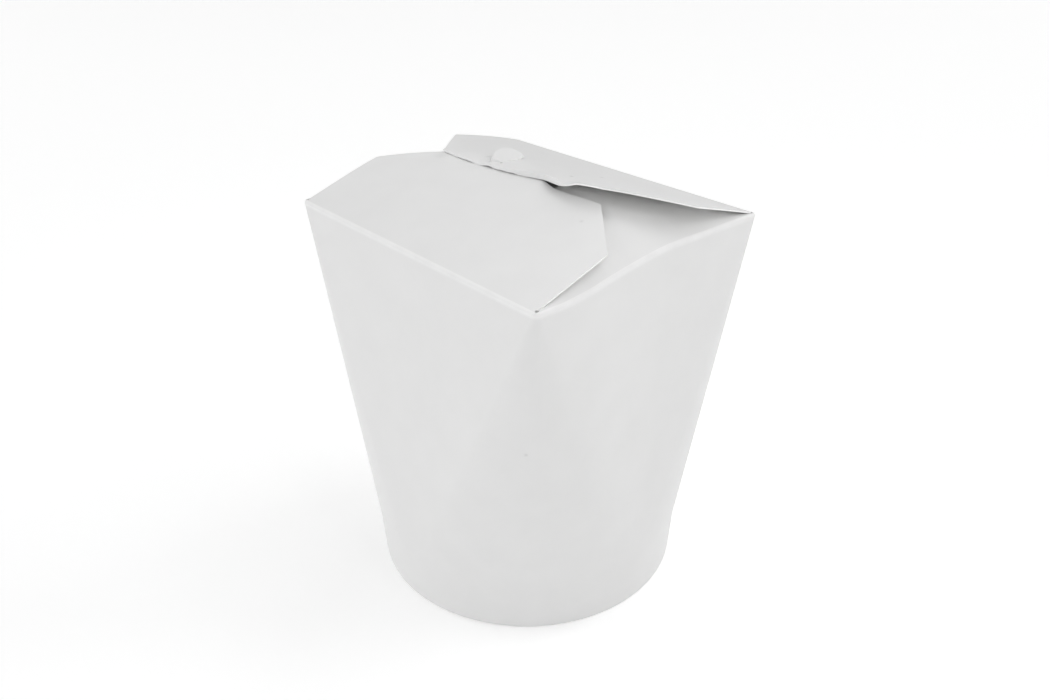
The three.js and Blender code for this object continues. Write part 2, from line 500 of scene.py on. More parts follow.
class Wall(Enum):
    """The four walls under the rim's straight stretches, in quarter turns from +X."""

    RIGHT = 0
    BACK = 1
    LEFT = 2
    FRONT = 3

    @property
    def is_end(self) -> bool:
        """Whether this is one of the two narrow ends."""
        return self in (Wall.RIGHT, Wall.LEFT)

    @property
    def heading(self) -> float:
        """The angle that the wall faces, in radians from +X."""
        return self.value * math.pi / 2

    @property
    def before(self) -> "Wall":
        """The wall that ends where this one starts."""
        return Wall((self.value - 1) % len(Wall))

    @property
    def after(self) -> "Wall":
        """The wall that starts where this one ends."""
        return Wall((self.value + 1) % len(Wall))


@dataclass(frozen=True)
class Column:
    """A straight line up the wall, from the foot to the rim.

    Attributes:
        wall: The wall that it is in, or that ends at its corner.
        share: How far along the wall's straight stretch, or round its corner, it is.
        at_corner: Whether it is strictly inside the corner.
        foot_angle: Its angle on the foot's circle.
    """

    wall: Wall
    share: float
    at_corner: bool
    foot_angle: float


@dataclass(frozen=True)
class Rim:
    """The fold lines round the top of the wall: an oblong with small round corners.

    Attributes:
        half_length: Half the oblong along X.
        half_width: Half the oblong along Y.
        height: The height of the fold lines.
        corner_radius: The radius of the corners.
        end_bow: How far the middle of the left end is arched up and drawn in.
        right_bow: The same for the right end, as (place along it, bow).
        corner_lifts: How much higher the corner after each wall is, in the order of Wall.
        flat_foot_angle: Half the angle on the foot that belongs to a wall's straight stretch.
        side_columns: Steps along a wall's straight stretch.
        corner_columns: Steps round a corner.
        seam_share: Where on the left wall the glued seam's step ends.
    """

    half_length: float
    half_width: float = 40.4
    height: float = 109.9
    corner_radius: float = 1.2
    end_bow: float = 1.3
    right_bow: tuple[tuple[float, float], ...] = (
        (-39.2, 0.0), (-32.0, -0.3), (-23.0, -0.1), (-17.0, 0.33), (-10.0, 0.75), (-4.0, 1.05),
        (5.0, 1.3), (12.0, 1.15), (20.0, 0.75), (30.0, 0.4), (39.2, 0.0),
    )
    corner_lifts: tuple[float, float, float, float] = (1.0, -0.45, 0.1, -0.7)
    flat_foot_angle: float = math.radians(5.0)
    side_columns: int = 56
    corner_columns: int = 32
    seam_share: float = 0.002

    def reach(self, wall: Wall) -> float:
        """Return how far from the middle a wall's fold line is."""
        return self.half_length if wall.is_end else self.half_width

    def half_run(self, wall: Wall) -> float:
        """Return half the length of a wall's straight fold line."""
        across = self.half_width if wall.is_end else self.half_length
        return across - self.corner_radius

    def lift(self, wall: Wall, along: float) -> float:
        """Return how much higher than the rim's height a wall's fold line is.

        Args:
            wall: The wall.
            along: The place along its fold line, from the middle.

        Returns:
            The lift, which runs straight from one corner's to the next one's.
        """
        share = 0.5 + 0.5 * along / self.half_run(wall)
        return lerp(self.corner_lifts[wall.before.value], self.corner_lifts[wall.value], share)

    def bow(self, wall: Wall, along: float) -> float:
        """Return how far a wall's fold line is arched up and drawn in, at a place along it.

        Args:
            wall: The wall.
            along: The place along its fold line, from the middle.

        Returns:
            The bow, which is 0 on the long walls.
        """
        if wall is Wall.RIGHT:
            return smooth_line(self.right_bow, along)
        return self.end_bow * (1.0 - (along / self.half_run(wall)) ** 2) if wall.is_end else 0.0

    def from_hinge(self, wall: Wall, along: float, inward: float, above: float) -> Vector:
        """Turn a place given from a wall's fold line into one in the part's frame.

        Args:
            wall: The wall.
            along: The place along the fold line, from its middle.
            inward: How far in from the fold line it is.
            above: How far above the rim's height it is.

        Returns:
            The place.
        """
        spot = Vector((self.reach(wall) - inward, along, self.height + above))
        return Matrix.Rotation(wall.heading, 3, "Z") @ spot

    def shares(self, wall: Wall) -> list[float]:
        """Return the shares of a wall's straight stretch at which its columns stand."""
        even = [step / self.side_columns for step in range(self.side_columns + 1)]
        return sorted(even + [self.seam_share]) if wall is Wall.LEFT else even

    def columns(self) -> list[Column]:
        """List the ring's columns, anticlockwise from the start of the right wall.

        Returns:
            Every column once: a corner's first and last are the walls' own.
        """
        flat = self.flat_foot_angle
        ring = []
        for wall in Wall:
            for share in self.shares(wall):
                angle = wall.heading + lerp(-flat, flat, share)
                ring.append(Column(wall, share, False, angle))
            for step in range(1, self.corner_columns):
                share = step / self.corner_columns
                angle = wall.heading + lerp(flat, math.pi / 2 - flat, share)
                ring.append(Column(wall, share, True, angle))
        return ring

    def corner_point(self, column: Column, radius: float, above: float) -> Vector:
        """Return a point round a corner.

        Args:
            column: A column inside the corner.
            radius: The distance from the corner's own middle.
            above: How far above the corner's fold line it is.

        Returns:
            The place in the part's frame.
        """
        turn = column.share * math.pi / 2
        inward = self.corner_radius - radius * math.cos(turn)
        along = self.half_run(column.wall) + radius * math.sin(turn)
        lift = self.corner_lifts[column.wall.value]
        return self.from_hinge(column.wall, along, inward, lift + above)

    def point(self, column: Column) -> Vector:
        """Return the place on the fold line at the top of a column.

        Args:
            column: Any column.

        Returns:
            The place in the part's frame.
        """
        if column.at_corner:
            return self.corner_point(column, self.corner_radius, 0.0)
        half = self.half_run(column.wall)
        along = lerp(-half, half, column.share)
        bow = self.bow(column.wall, along)
        return self.from_hinge(column.wall, along, bow, bow + self.lift(column.wall, along))


# ------------------------------------------------------------------------------------------ flaps


@dataclass
class Flap:
    """A flap that grows from a wall's fold line.

    Attributes:
        wall: The wall that carries it.
        rim: The rim that it is folded along.
        side_length: The length of its side edges, from the fold line to where they turn in.
        side_half: Half its width there.
        end: The distance from the fold line to its free edge.
        end_half: Half the length of its free edge.
        lift_kept: How much of the fold line's lift its free edge has.
        corner_round: How far its die-cut corners are rounded off.
        row_counts: The rows over the relief cut, along the side edges and along the taper.
    """

    wall: Wall
    rim: Rim
    side_length: float
    side_half: float
    end: float
    end_half: float
    lift_kept: float = 1.0
    corner_round: float = 0.5
    row_counts: tuple[int, int, int] = (6, 10, 8)

    def half_width(self, distance: float) -> float:
        """Return half the flap's width at a distance from the fold line.

        Args:
            distance: The distance along the board.

        Returns:
            The half width, less at the round relief cut by the fold line.
        """
        sides = ((0.0, self.rim.half_run(self.wall)), (self.side_length, self.side_half))
        half = polyline(sides + ((self.end, self.end_half),), distance)
        away = abs(distance - self.rim.corner_radius)
        return half - math.sqrt(max(RELIEF_RADIUS**2 - away**2, 0.0))

    def distances(self) -> list[float]:
        """List the flap's rows.

        Returns:
            Their distances from the fold line, without the first row's.
        """
        middle = self.rim.corner_radius
        ends = (middle - RELIEF_RADIUS, middle + RELIEF_RADIUS, self.side_length, self.end)
        stretches = zip(ends, ends[1:], self.row_counts)
        return [row for start, end, count in stretches for row in steps_to(start, end, count)]

    def surface(self, along: float, distance: float) -> tuple[float, float]:
        """Return how far in and how far above the fold line a place on the flap is.

        Args:
            along: The place along the fold line, from its middle.
            distance: The distance from the fold line along the board.

        Returns:
            The distances inward and up.
        """
        raise NotImplementedError

    def place(self, share: float, distance: float) -> Vector:
        """Return a place on the flap in the part's frame.

        Args:
            share: The place across the flap, from 0 to 1.
            distance: The distance from the fold line along the board.

        Returns:
            The place.
        """
        half = self.half_width(distance)
        along = lerp(-half, half, share)
        inward, above = self.surface(along, distance)
        kept = lerp(1.0, self.lift_kept, distance / self.end)
        lift = kept * self.rim.lift(self.wall, along)
        return self.rim.from_hinge(self.wall, along, inward, above + lift)

    def grow(self, mesh: BMesh, first_row: Sequence[BMVert]) -> list[list[BMVert]]:
        """Extrude the flap from its first row.

        Args:
            mesh: The sheet's mesh.
            first_row: The row just inside the fold line.

        Returns:
            The flap's rows, the first one included.
        """
        shares = self.rim.shares(self.wall)

        def flap_place(number: int, distance: float) -> Vector:
            """Return the place of a vertex of the flap.

            Args:
                number: The vertex's number in its row.
                distance: The row's distance from the fold line.

            Returns:
                The place, evenly spaced across the flap away from the fold line.
            """
            even = number / (len(shares) - 1)
            share = lerp(shares[number], even, smooth_step(0.0, self.side_length, distance))
            return self.place(share, distance)

        return [list(first_row)] + grow_rows(mesh, first_row, self.distances(), flap_place)

    def round_corners(self, mesh: BMesh, rows: Sequence[Sequence[BMVert]]) -> None:
        """Round the die-cut corners at the ends of the side edges and of the free edge.

        Args:
            mesh: The sheet's mesh.
            rows: The flap's rows.
        """
        turn = self.distances().index(self.side_length) + 1
        corners = [rows[turn][0], rows[turn][-1], rows[-1][0], rows[-1][-1]]
        bmesh.ops.bevel(
            mesh,
            geom=corners,
            offset=self.corner_round,
            offset_type="OFFSET",
            segments=4,
            profile=0.5,
            affect="VERTICES",
            material=-1,
        )


Points = tuple[tuple[float, float], ...]


@dataclass
class LongFlap(Flap):
    """A long flap, which leaves its fold line at a slope and bends over towards its free edge.

    Each list of points gives a value at places along the flap.

    Attributes:
        rises: The slope at the fold line, in degrees.
        heights: How high above the rim the bend ends.
        powers: How suddenly it bends: 1 evenly, and more for a bend that is close to its end.
    """

    rises: Points = ()
    heights: Points = ()
    powers: Points = ((0.0, 3.0),)

    def bend_length(self, along: float) -> float:
        """Return the distance from the fold line over which the flap bends."""
        return self.end

    def slope(self, along: float, distance: float) -> float:
        """Return the flap's slope at a place, so that its bend ends at the right height.

        Args:
            along: The place along the flap.
            distance: The distance from the fold line.

        Returns:
            The slope in radians.
        """
        full = self.bend_length(along)
        rise = math.radians(polyline(self.rises, along))
        power = polyline(self.powers, along)
        height = smooth_line(self.heights, along) - self.rim.lift(self.wall, along)
        bend = (power + 1.0) * (rise - math.asin(height / full))
        return rise - bend * (distance / full) ** power

    def surface(self, along: float, distance: float) -> tuple[float, float]:
        """Return how far in and up a place is."""
        return follow(lambda run: self.slope(along, run), distance)


@dataclass
class UpperFlap(LongFlap):
    """The long flap that is shut last.

    Its free corner springs up. Elsewhere it is held down by the tongue, bends over and ends in a
    crushed lip that hangs down on the lower flap.

    Attributes:
        lip_widths: The width of the crushed lip, at places along the flap.
        lip_slopes: How much steeper than the flap it falls, in degrees.
        lip_row: The row of the lip's crease, given as the lip's width there.
        crease_radius: How far past the crease the lip is still turning down.
        slit_centre: The middle of the slit along the flap.
        slit_half: Half the slit's length.
        slit_distance: The slit's distance from the fold line.
        slit_gap: Half the width to which it gapes.
        slit_step: The distance between the rows of vertices on either side of the slit.
        crease_step: The distance between the rows by the lip's crease.
        lip_end_step: The distance between the lip's last two rows.
        lip_blend: The width before the lip over which the rows close up to its crease.
        bulge: How far the board beside the tongue is bulged up.
        bulge_along: The bulge's middle and its reach, along the flap.
        bulge_across: The same, as distances from the fold line.
        dents: Kinks in the held edge, as (place along it, half width, height).
        dent_run: How far before the free edge the kinks start, and where they are full.
    """

    rises: Points = ((-47.0, 19.2), (5.0, 19.2), (18.0, 19.0), (31.0, 19.0))
    heights: Points = (
        (-47.0, 14.6), (-31.0, 14.4), (-21.5, 13.45), (-18.6, 12.8), (-14.9, 12.35),
        (-10.0, 12.4), (-6.2, 12.03), (-2.3, 11.5), (1.6, 11.0), (5.6, 10.55), (8.9, 10.27),
        (12.5, 10.02), (16.5, 9.92), (21.0, 9.78), (25.0, 9.98), (31.0, 9.95), (47.0, 10.1),
    )
    powers: Points = ((12.0, 3.0), (31.0, 1.0))
    lip_widths: Points = (
        (-31.0, 1.2), (-18.0, 1.3), (-3.0, 1.3), (6.0, 0.7), (12.0, 0.5), (31.0, 0.5),
    )
    lip_slopes: Points = (
        (-22.5, 0.0), (-19.5, 20.0), (-16.0, 45.0), (-12.0, 75.0), (-2.0, 80.0), (6.0, 55.0),
        (31.0, 40.0),
    )
    lip_row: float = 1.2
    crease_radius: float = 0.4
    slit_centre: float = 12.3
    slit_half: float = 3.2
    slit_distance: float = 41.2
    slit_gap: float = 0.38
    slit_step: float = 0.6
    crease_step: float = 0.25
    lip_end_step: float = 0.35
    lip_blend: float = 1.0
    bulge: float = 0.5
    bulge_along: tuple[float, float] = (8.0, 11.0)
    bulge_across: tuple[float, float] = (35.5, 9.0)
    dents: tuple[tuple[float, float, float], ...] = (
        (25.6, 2.2, -0.3), (20.5, 2.6, 0.12), (16.3, 2.4, -0.42), (11.6, 2.8, 0.4),
        (6.2, 2.4, 0.15), (2.2, 2.2, 0.22),
    )
    dent_run: tuple[float, float] = (3.2, 0.4)

    def bend_length(self, along: float) -> float:
        """Return the distance from the fold line to the lip's crease."""
        return self.end - smooth_line(self.lip_widths, along)

    def distances(self) -> list[float]:
        """List the flap's rows, closer together by the slit and the lip.

        Returns:
            Their distances from the fold line, without the first row's.
        """
        crease = self.end - self.lip_row
        slit = self.slit_distance
        near = self.slit_step
        step = self.crease_step
        rows = [d for d in super().distances() if d < slit - 2.5 * near]
        rows += [slit - 2.0 * near, slit - near]
        rows += [slit - self.slit_gap, slit + self.slit_gap, slit + near]
        rows += steps_to(slit + near, crease - 2.0 * step, 3)
        rows += [crease - step, crease, crease + step, crease + 2.0 * step]
        return rows + [self.end - self.lip_end_step, self.end]

    def surface(self, along: float, distance: float) -> tuple[float, float]:
        """Return how far in and up a place is: a bend that ends in a hanging lip.

        Args:
            along: The place along the fold line, from its middle.
            distance: The distance from the fold line along the board.

        Returns:
            The distances inward and up.
        """
        crease = self.bend_length(along)
        row = self.end - self.lip_row
        still = row - self.lip_blend
        moved = ((0.0, 0.0), (still, still), (row, crease), (self.end, self.end))
        distance = polyline(moved, distance)
        inward, above = super().surface(along, min(distance, crease))
        fall = math.radians(smooth_line(self.lip_slopes, along))
        start = self.slope(along, crease)

        def lip_slope(past: float) -> float:
            """Return the lip's slope at a distance past the crease."""
            return start - fall * smooth_step(-self.crease_radius, self.crease_radius, past)

        lip = follow(lip_slope, max(distance - crease, 0.0))
        above += self.slit_bulge(along, distance) + self.crumple(along, distance)
        return inward + lip[0], above + lip[1]

    def slit_bulge(self, along: float, distance: float) -> float:
        """Return how far the board beside the tongue is bulged up."""
        return self.bulge * hump(*self.bulge_along, along) * hump(*self.bulge_across, distance)

    def crumple(self, along: float, distance: float) -> float:
        """Return how far the held edge is dented or puffed at a place.

        Args:
            along: The place along the fold line, from its middle.
            distance: The distance from the fold line along the board.

        Returns:
            The height, below 0 in a dent.
        """
        dents = sum(deep * hump(centre, half, along) for centre, half, deep in self.dents)
        start, full = self.dent_run
        return dents * smooth_step(self.end - start, self.end - full, distance)

    def grow(self, mesh: BMesh, first_row: Sequence[BMVert]) -> list[list[BMVert]]:
        """Extrude the flap and open its slit.

        Args:
            mesh: The sheet's mesh.
            first_row: The row just inside the fold line.

        Returns:
            The flap's rows, the first one included.
        """
        rows = super().grow(mesh, first_row)
        before = self.distances().index(self.slit_distance - self.slit_gap) + 1
        back, front = rows[before], rows[before + 1]
        inside = [
            n for n, v in enumerate(back) if abs(-v.co.x - self.slit_centre) <= self.slit_half
        ]
        gone = []
        for number in inside[:-1]:
            corners = (back[number], back[number + 1], front[number + 1], front[number])
            gone.append(mesh.faces.get(corners))
        bmesh.ops.delete(mesh, geom=gone, context="FACES")
        return rows


@dataclass
class LowerFlap(LongFlap):
    """The long flap that is shut first. Its tongue goes up through the upper flap's slit.

    Attributes:
        tongue_centre: The middle of the tongue's root along the free edge.
        neck_half: Half the width of its root.
        root_height: How high above the rim its root is.
        root_slope: How steeply it climbs from there to the slit.
        slit_run: Between which depths behind the box's middle plane it goes up through the slit.
        slit_depth: The slit's own depth.
        risen_height: How high above the rim it is just past the slit.
        tongue_rise: Its slope above the slit.
        tongue_tilt: How steeply it falls from left to right there.
        tongue_tip: How far behind the middle plane its tip is.
        tongue_curl: How far its tip curls up.
        curl_from: The share of its length at which the curl starts.
        tongue_rows: The rows of vertices along it.
        tongue_left: Its left edge, as (depth behind the middle plane, place along the flap).
        tongue_right: Its right edge, likewise.
    """

    rises: Points = ((-30.0, 17.75), (-10.0, 17.0), (20.0, 14.6))
    heights: Points = (
        (-46.0, 9.4), (-31.0, 9.35), (-20.0, 9.15), (-14.0, 9.4), (-5.0, 9.8), (4.0, 10.3),
        (8.6, 10.6), (10.6, 9.9), (12.8, 9.35), (17.0, 9.35), (22.0, 9.55), (29.1, 9.7),
        (46.0, 9.8),
    )
    tongue_centre: float = -12.3
    neck_half: float = 2.7
    root_height: float = 9.45
    root_slope: float = 0.1
    slit_run: tuple[float, float] = (0.4, 0.85)
    slit_depth: float = 0.6
    risen_height: float = 10.55
    tongue_rise: float = math.radians(9.0)
    tongue_tilt: float = 0.08
    tongue_tip: float = 7.8
    tongue_curl: float = 0.25
    curl_from: float = 0.6
    tongue_rows: int = 24
    tongue_left: Points = (
        (-0.9, -14.5), (0.8, -14.3), (2.2, -14.8), (3.6, -16.1), (5.0, -16.1), (6.4, -15.6),
        (7.3, -14.7), (7.8, -13.0),
    )
    tongue_right: Points = (
        (-0.9, -10.2), (0.8, -10.3), (2.7, -9.4), (4.2, -8.2), (5.5, -7.6), (6.8, -7.7),
        (7.4, -8.5), (7.8, -10.2),
    )

    def tongue_height(self, across: float, deep: float) -> float:
        """Return how high the tongue is at a place, as it climbs through the slit.

        Args:
            across: The place along the flap.
            deep: The depth behind the box's middle plane.

        Returns:
            The height above the rim.
        """
        root = self.root_height + self.root_slope * (deep - self.tongue_left[0][0])
        risen = self.risen_height + math.tan(self.tongue_rise) * (deep - self.slit_depth)
        risen -= self.tongue_tilt * (across - self.tongue_centre)
        return lerp(root, risen, smooth_step(*self.slit_run, deep))

    def grow(self, mesh: BMesh, first_row: Sequence[BMVert]) -> list[list[BMVert]]:
        """Extrude the flap and its tongue.

        Args:
            mesh: The sheet's mesh.
            first_row: The row just inside the fold line.

        Returns:
            The flap's rows without the tongue's, the first one included.
        """
        rows = super().grow(mesh, first_row)
        root = [v for v in rows[-1] if abs(v.co.x - self.tongue_centre) <= self.neck_half]
        start = root[0].co.y

        def tongue_place(number: int, deep: float) -> Vector:
            """Return the place of a vertex of the tongue.

            Args:
                number: The vertex's number in its row.
                deep: The row's depth behind the box's middle plane.

            Returns:
                The place in the part's frame.
            """
            low = polyline(self.tongue_left, deep)
            high = polyline(self.tongue_right, deep)
            across = lerp(low, high, number / (len(root) - 1))
            run = (deep - start) / (self.tongue_tip - start)
            curl = self.tongue_curl * smooth_step(self.curl_from, 1.0, run)
            height = self.tongue_height(across, deep) + curl
            return Vector((across, deep, self.rim.height + height))

        for number, vert in enumerate(root):
            vert.co.x = tongue_place(number, start).x
        grow_rows(mesh, root, steps_to(start, self.tongue_tip, self.tongue_rows), tongue_place)
        return rows


@dataclass
class ShortFlap(Flap):
    """A flap folded in first. It springs up and arches over until the long flaps stop it.

    Attributes:
        rise: Its slope at the fold line.
        arch_from: The distance at which it starts to bend over.
        arch_to: The distance at which it is level.
        front_ceiling: The slope of the lower flap, which holds down its front half.
        back_ceiling: The slope of the upper flap, which holds down its back half.
        side_gap: How far below their surface it stays by the fold line.
        front_gap: How far below the lower flap it stays in the middle of the box.
        back_gap: How far below the upper flap it stays there.
        gap_run: The distances between which the gap grows.
        softness: How gently it nestles against them.
        hold_run: The places between which the lower flap's hold passes over to the upper one's.
        free_run: The distance from the fold line up to which it isn't yet held down in full.
    """

    rise: float = math.radians(28.0)
    arch_from: float = 4.5
    arch_to: float = 30.0
    front_ceiling: float = math.tan(math.radians(14.6))
    back_ceiling: float = math.tan(math.radians(18.0))
    side_gap: float = 0.5
    front_gap: float = 2.2
    back_gap: float = 0.6
    gap_run: tuple[float, float] = (6.0, 22.0)
    softness: float = 0.6
    hold_run: tuple[float, float] = (-2.0, 7.0)
    free_run: float = 3.0

    def surface(self, along: float, distance: float) -> tuple[float, float]:
        """Return how far in and up a place is: an arch whose sides are pressed down.

        Args:
            along: The place along the fold line, from its middle.
            distance: The distance from the fold line along the board.

        Returns:
            The distances inward and up.
        """
        bow = self.rim.bow(self.wall, along)
        inward, above = follow(self._slope, distance)
        above += bow
        back = along if self.wall is Wall.RIGHT else -along
        behind = smooth_step(*self.hold_run, back)
        slope = lerp(self.front_ceiling, self.back_ceiling, behind)
        deep = smooth_step(*self.gap_run, distance)
        gap = lerp(self.side_gap, lerp(self.front_gap, self.back_gap, behind), deep)
        ceiling = (self.rim.half_width - abs(along)) * slope - gap
        pressed = -self.softness * math.log(
            math.exp(-above / self.softness) + math.exp(-ceiling / self.softness)
        )
        free = smooth_step(self.free_run, 0.0, distance)
        return inward + bow * (1.0 - distance / self.end), lerp(pressed, above, free)

    def _slope(self, distance: float) -> float:
        """Return the arch's slope at a distance from the fold line."""
        return self.rise * smooth_step(self.arch_to, self.arch_from, distance)


# ------------------------------------------------------------------------------------- the sheet


@dataclass
class FoldedSheet:
    """The carton's one sheet: hem, wall and flaps, with their fold lines.

    Attributes:
        rim: The fold lines round the top.
        foot_radius: The wall's radius where it stands.
        skirt_radius: Its radius at the top of the skirt.
        skirt_height: The height of the skirt.
        board: The board's thickness.
        hem_radius: The inner radius of the folded-in lower edge.
        hem_height: How high that edge stands up inside.
        fold_radius: The outer radius of its two folds.
        hem_rows: The rows of vertices on the hem above its folds.
        fold_rows: The rows of vertices round each of them.
        skirt_rows: Where the skirt's rows are, as shares of its height.
        wall_rows: The rows of vertices on the wall above it.
        top_rows: How far below the rim's height the wall's last two rows are.
        ridge: How far from a top fold line its rounding starts.
        ridge_rows: The rows of vertices over the rounding.
        seam_step: How far the glued seam's outer layer stands off the wall.
        seam_start: Where on the corner before the seam it starts to, from 0 to 1.
        pucker: How far the hem is puckered in and out.
        puckers: The number of puckers round it.
        pucker_drift: How unevenly they are spaced: by how much, and how many times round it.
    """

    rim: Rim
    foot_radius: float
    skirt_radius: float
    skirt_height: float = 15.0
    board: float = 0.4
    hem_radius: float = 42.05
    hem_height: float = 8.0
    fold_radius: float = 0.9
    hem_rows: int = 6
    fold_rows: int = 4
    skirt_rows: tuple[float, ...] = (0.2, 0.4, 0.6, 0.8, 0.9, 1.0)
    wall_rows: int = 19
    top_rows: tuple[float, float] = (3.0, 1.5)
    ridge: float = 0.7
    ridge_rows: int = 7
    seam_step: float = 0.42
    seam_start: float = 0.4
    pucker: float = 0.16
    puckers: float = 40.0
    pucker_drift: tuple[float, float] = (2.0, 7.0)

    def build(self) -> bpy.types.Object:
        """Model the sheet and give it its thickness.

        Returns:
            The carton's object.
        """
        mesh = bmesh.new()
        mesh.verts.layers.float.new(FOLD_HIGHLIGHT_AND_WEAR)
        columns = self.rim.columns()
        first_row = self._ridge(mesh, columns, self._wall(mesh, columns))
        for flap in self._flaps():
            numbers = [n for n, c in enumerate(columns) if c.wall is flap.wall and not c.at_corner]
            rows = flap.grow(mesh, [first_row[number] for number in numbers])
            flap.round_corners(mesh, rows)
        bmesh.ops.recalc_face_normals(mesh, faces=mesh.faces)
        sheet = to_part_frame(mesh, "folded_carton")
        return thicken(sheet, self.board)

    def _flaps(self) -> list[Flap]:
        """List the carton's flaps.

        Returns:
            The four flaps, in the order in which they are folded in.
        """
        rim = self.rim
        short = dict(
            rim=rim, side_length=20.0, side_half=35.6, end=38.0, end_half=21.8, lift_kept=0.0
        )
        left_ceiling = math.tan(math.radians(14.7))
        return [
            ShortFlap(wall=Wall.RIGHT, **short),
            ShortFlap(wall=Wall.LEFT, back_ceiling=left_ceiling, back_gap=0.7, **short),
            LowerFlap(
                wall=Wall.FRONT, rim=rim, side_length=25.7, side_half=45.3, end=40.75, end_half=29.2
            ),
            UpperFlap(
                wall=Wall.BACK, rim=rim, side_length=26.4, side_half=47.1, end=44.8, end_half=30.3
            ),
        ]

    def _profile(self) -> list[tuple[float, float]]:
        """List the section of the hem and its folds, as (radius, height) from the free edge on.

        Returns:
            Pairs of radius and height, up to where the outer fold meets the wall.
        """
        bend = self.fold_radius
        hem = [self.hem_height] + steps_to(self.hem_height, bend, self.hem_rows)
        outline = [(self.hem_radius, height) for height in hem]
        for turn in quarter_turn(self.fold_rows)[1:]:
            radius = self.hem_radius + bend * (1.0 - math.cos(turn))
            outline.append((radius, bend * (1.0 - math.sin(turn))))
        for turn in quarter_turn(self.fold_rows):
            radius = self.foot_radius - bend * (1.0 - math.sin(turn))
            outline.append((radius, bend * (1.0 - math.cos(turn))))
        return outline

    def _seam(self, column: Column, height: float) -> float:
        """Return how far the glued seam's outer layer lifts the wall at a column.

        Args:
            column: The column.
            height: The height on it.

        Returns:
            The lift: it rises round the corner after the back wall, and stops at the left wall.
        """
        lower, upper = self.top_rows
        below_rim = smooth_step(self.rim.height - upper, self.rim.height - lower, height)
        if column.wall is Wall.BACK and column.at_corner:
            return self.seam_step * smooth_step(self.seam_start, 1.0, column.share) * below_rim
        at_step = column.wall is Wall.LEFT and column.share == 0.0
        return self.seam_step * below_rim if at_step else 0.0

    def _wall(self, mesh: BMesh, columns: Sequence[Column]) -> list[BMVert]:
        """Model the hem and the wall.

        Args:
            mesh: The sheet's mesh, still empty.
            columns: The ring's columns.

        Returns:
            The ring of vertices where the rounding of the rim's fold lines starts.
        """
        profile = self._profile()
        ring = bmesh.ops.create_circle(mesh, segments=len(columns), radius=self.hem_radius)["verts"]

        def foot_place(number: int, level: float) -> Vector:
            """Return a vertex's place in the hem and its folds.

            Args:
                number: The number of the vertex's column.
                level: The number of its point of the section.

            Returns:
                The place in the part's frame.
            """
            radius, height = profile[int(level)]
            angle = columns[number].foot_angle
            drift = self.pucker_drift[0] * math.sin(self.pucker_drift[1] * angle)
            wave = self.pucker * math.sin(self.puckers * angle + drift)
            radius += wave * (height / self.hem_height) if level <= self.hem_rows else 0.0
            return Vector((radius * math.cos(angle), radius * math.sin(angle), height))

        def wall_place(number: int, height: float) -> Vector:
            """Return a vertex's place in the skirt or the wall above it.

            Args:
                number: The number of the vertex's column.
                height: Its height on the column.

            Returns:
                The place in the part's frame.
            """
            column = columns[number]
            angle = column.foot_angle
            outward = Vector((math.cos(angle), math.sin(angle), 0.0))
            lift = self._seam(column, height)
            if height <= self.skirt_height:
                share = height / self.skirt_height
                radius = lerp(self.foot_radius, self.skirt_radius, share)
                return outward * (radius + lift) + Vector((0.0, 0.0, height))
            share = (height - self.skirt_height) / (self.rim.height - self.skirt_height)
            return self._skirt_point(column).lerp(self.rim.point(column), share) + outward * lift

        for number, vert in enumerate(ring):
            vert.co = foot_place(number, 0)
        rows = grow_rows(mesh, ring, range(1, len(profile)), foot_place, closed=True)
        levels = [share * self.skirt_height for share in self.skirt_rows]
        levels += steps_to(self.skirt_height, self.rim.height, self.wall_rows)[:-1]
        levels += [self.rim.height - below for below in self.top_rows]
        return grow_rows(mesh, rows[-1], levels, wall_place, closed=True)[-1]

    def _skirt_point(self, column: Column) -> Vector:
        """Return the place at the top of the skirt, at the foot of a column's straight line."""
        spot = Vector((self.skirt_radius, 0.0, self.skirt_height))
        return Matrix.Rotation(column.foot_angle, 3, "Z") @ spot

    def _ridge(
        self, mesh: BMesh, columns: Sequence[Column], ring: Sequence[BMVert]
    ) -> list[BMVert]:
        """Model the rounded fold lines, mark them for their paler band of painted highlight and
        wear, and add a lip inside each corner.

        Args:
            mesh: The sheet's mesh.
            columns: The ring's columns.
            ring: The ring of vertices at the top of the wall.

        Returns:
            The ring of vertices on the first row of the flaps.
        """
        flaps = {flap.wall: flap for flap in self._flaps()}

        def inner_place(number: int, inset: float) -> Vector:
            """Return a vertex's place inside the fold line, on its flap or its corner's lip.

            Args:
                number: The number of the vertex's column.
                inset: Its distance from the fold line.

            Returns:
                The place in the part's frame.
            """
            column = columns[number]
            flap = flaps[column.wall]
            if not column.at_corner:
                return flap.place(column.share, inset)
            following = flaps[column.wall.after]
            spot = self.rim.corner_point(column, self.rim.corner_radius - inset, 0.0)
            spot.z = lerp(flap.place(1.0, inset).z, following.place(0.0, inset).z, column.share)
            return spot

        def ridge_place(number: int, share: float) -> Vector:
            """Return a vertex's place on the rounding, from the wall (0) to the flap (1).

            Args:
                number: The number of the vertex's column.
                share: How far over the rounding it is.

            Returns:
                The place in the part's frame.
            """
            fold = self.rim.point(columns[number])
            down = (self._skirt_point(columns[number]) - fold).normalized()
            wall = fold + down * self.ridge
            flap = inner_place(number, self.ridge)
            return wall.lerp(fold, share).lerp(fold.lerp(flap, share), share)

        shares = [step / self.ridge_rows for step in range(self.ridge_rows + 1)]
        rows = grow_rows(mesh, ring, shares, ridge_place, closed=True)
        first_row = self.rim.corner_radius - RELIEF_RADIUS
        inner_row = grow_rows(mesh, rows[-1], [first_row], inner_place, closed=True)[0]
        # mark the rounding, which the coated finish pales as a painted highlight and wear
        highlight_and_wear = mesh.verts.layers.float[FOLD_HIGHLIGHT_AND_WEAR]
        for vert in (vert for row in rows for vert in row):
            vert[highlight_and_wear] = 1.0
        return inner_row


